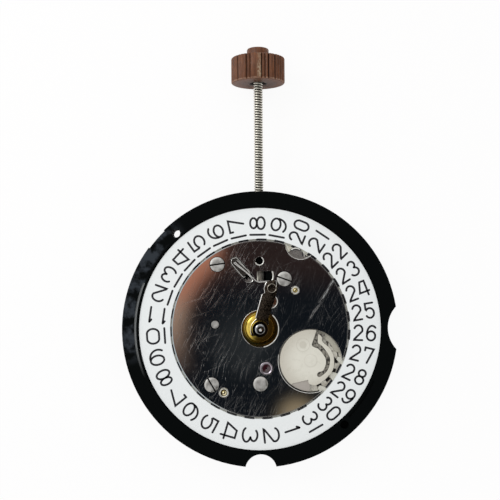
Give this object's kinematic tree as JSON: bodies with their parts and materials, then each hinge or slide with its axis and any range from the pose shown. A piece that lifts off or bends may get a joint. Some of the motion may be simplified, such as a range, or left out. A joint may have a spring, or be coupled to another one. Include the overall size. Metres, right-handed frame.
{
  "type": "quartz watch movement",
  "caption": "Round quartz watch movement with date disc, hand posts, winding stem and plastic knob, dial side up.",
  "frame": {"origin": "centre of the back face, on the axis of the hands", "axes": "+Z out of the dial side along the hand posts, +Y along the stem towards the knob"},
  "size_m": [0.026, 0.04, 0.0058],
  "materials": {
    "black_resin": "moulded, fine satin",
    "polished_steel": "mirror polished with hairline scratches",
    "steel": "turned steel",
    "dark_steel": "stamped spring steel",
    "brass": "turned brass",
    "printed_white": "printed matt enamel",
    "white_resin": "moulded acetal",
    "beige_resin": "moulded acetal",
    "dark_resin": "moulded acetal",
    "ruby": "polished synthetic ruby",
    "copper": "enamelled copper wire",
    "soft_iron": "annealed strip",
    "board_green": "printed laminate",
    "chip_black": "cast epoxy",
    "brown_resin": "moulded plastic",
    "magnet_grey": "sintered magnet",
    "seal_grey": "moulded nylon seal"
  },
  "bodies": {
    "movement": {"main_plate": "black_resin", "cover_plate": "polished_steel", "cover_screws": "steel", "cover_stud": "steel", "locating_pin": "steel", "plate_tubes": "steel", "tube_bushes": "brass", "jewel_setting": "steel", "plate_jewel": "ruby", "jumper_spring": "dark_steel", "spring_rivet": "steel", "date_jumper": "beige_resin", "jumper_screw": "steel", "pivot_posts": "steel", "train_bridge": "polished_steel", "bridge_jewels": "ruby", "bridge_screws": "steel", "circuit_board": "board_green", "board_screws": "steel", "chip": "chip_black", "quartz_crystal": "polished_steel", "crystal_leads": "steel", "coil_core": "soft_iron", "coil_winding": "copper", "coil_end_plates": "dark_resin", "stator": "soft_iron", "battery_can": "steel", "battery_gasket": "seal_grey", "battery_cap": "steel", "negative_contact": "brass", "battery_clamp": "steel", "clamp_screw": "steel"},
    "date_disc": {"date_disc": "printed_white"},
    "date_wheel": {"date_finger": "white_resin", "date_wheel_gear": "dark_resin"},
    "corrector": {"date_corrector": "soft_iron"},
    "cannon": {"cannon_pinion": "steel"},
    "minute_wheel": {"minute_wheel": "brass", "minute_pinion": "steel"},
    "hour_wheel": {"hour_wheel": "brass"},
    "setting_wheel": {"setting_wheel": "steel"},
    "seconds": {"seconds_wheel": "brass", "seconds_arbor": "steel"},
    "third": {"third_wheel": "brass", "third_pinion": "steel"},
    "centre": {"centre_wheel": "brass"},
    "intermediate": {"intermediate_wheel": "brass", "intermediate_pinion": "steel"},
    "rotor": {"rotor_magnet": "magnet_grey", "rotor_pinion": "steel"},
    "sliding_pinion": {"sliding_pinion": "steel"},
    "stem": {"stem": "steel", "knob": "brown_resin"},
    "setting_lever": {"setting_lever": "steel", "lever_pin": "steel"},
    "yoke": {"yoke": "steel"}
  },
  "joints": [
    {"name": "cannon_turn", "type": "hinge", "parent": "movement", "child": "cannon", "pos_m": [0, 0, 0.002], "axis": [0, 0, -1], "continuous": true},
    {"name": "minute_wheel_turn", "type": "hinge", "parent": "movement", "child": "minute_wheel", "pos_m": [0.00089, 0.0022, 0.002], "axis": [0, 0, -1], "continuous": true},
    {"name": "hour_wheel_turn", "type": "hinge", "parent": "movement", "child": "hour_wheel", "pos_m": [0, 0, 0.002], "axis": [0, 0, -1], "continuous": true},
    {"name": "setting_wheel_turn", "type": "hinge", "parent": "movement", "child": "setting_wheel", "pos_m": [-0.00093, 0.00402, 0.002], "axis": [0, 0, -1], "continuous": true},
    {"name": "date_wheel_turn", "type": "hinge", "parent": "movement", "child": "date_wheel", "pos_m": [0.0048, -0.00307, 0.002], "axis": [0, 0, -1], "continuous": true},
    {"name": "seconds_turn", "type": "hinge", "parent": "movement", "child": "seconds", "pos_m": [0, 0, 0.001], "axis": [0, 0, -1], "continuous": true},
    {"name": "intermediate_turn", "type": "hinge", "parent": "movement", "child": "intermediate", "pos_m": [0.0013, -0.00225, 0.001], "axis": [0, 0, -1], "continuous": true},
    {"name": "rotor_turn", "type": "hinge", "parent": "movement", "child": "rotor", "pos_m": [0.00322, -0.00295, 0.001], "axis": [0, 0, -1], "continuous": true},
    {"name": "third_turn", "type": "hinge", "parent": "movement", "child": "third", "pos_m": [0.00244, 0.00089, 0.001], "axis": [0, 0, -1], "continuous": true},
    {"name": "centre_turn", "type": "hinge", "parent": "movement", "child": "centre", "pos_m": [0, 0, 0.0013], "axis": [0, 0, -1], "continuous": true},
    {"name": "date_disc_turn", "type": "hinge", "parent": "movement", "child": "date_disc", "pos_m": [0, 0, 0.0026], "axis": [0, 0, 1], "continuous": true, "deforming": ["date_jumper"]},
    {"name": "date_corrector_turn", "type": "hinge", "parent": "movement", "child": "corrector", "pos_m": [0.00347, 0.00639, 0.0025], "axis": [0, 0, 1], "range_deg": [-25, 25]},
    {"name": "stem_turn", "type": "hinge", "parent": "movement", "child": "sliding_pinion", "pos_m": [0, 0.005, 0.0015], "axis": [0, 1, 0], "continuous": true},
    {"name": "stem_pull", "type": "slide", "parent": "sliding_pinion", "child": "stem", "axis": [0, 1, 0], "range_m": [0, 0.0009]},
    {"name": "setting_lever_turn", "type": "hinge", "parent": "movement", "child": "setting_lever", "pos_m": [-0.00185, 0.00805, 0.00215], "axis": [0, 0, 1], "range_deg": [0, 27.4]},
    {"name": "yoke_turn", "type": "hinge", "parent": "movement", "child": "yoke", "pos_m": [-0.0027, 0.0053, 0.00215], "axis": [0, 0, -1], "range_deg": [0, 3.2]}
  ],
  "couplings": [
    {"joint": "minute_wheel_turn", "follows": "cannon_turn", "ratio": -0.33333},
    {"joint": "hour_wheel_turn", "follows": "cannon_turn", "ratio": 0.083333},
    {"joint": "setting_wheel_turn", "follows": "cannon_turn", "ratio": 0.75},
    {"joint": "date_wheel_turn", "follows": "cannon_turn", "ratio": -0.041667},
    {"joint": "intermediate_turn", "follows": "seconds_turn", "ratio": -4},
    {"joint": "rotor_turn", "follows": "seconds_turn", "ratio": 30},
    {"joint": "third_turn", "follows": "seconds_turn", "ratio": -0.13333},
    {"joint": "centre_turn", "follows": "seconds_turn", "ratio": 0.016667},
    {"joint": "setting_lever_turn", "follows": "stem_pull", "rad_per_m": 529.42},
    {"joint": "yoke_turn", "follows": "stem_pull", "rad_per_m": 60.117}
  ]
}
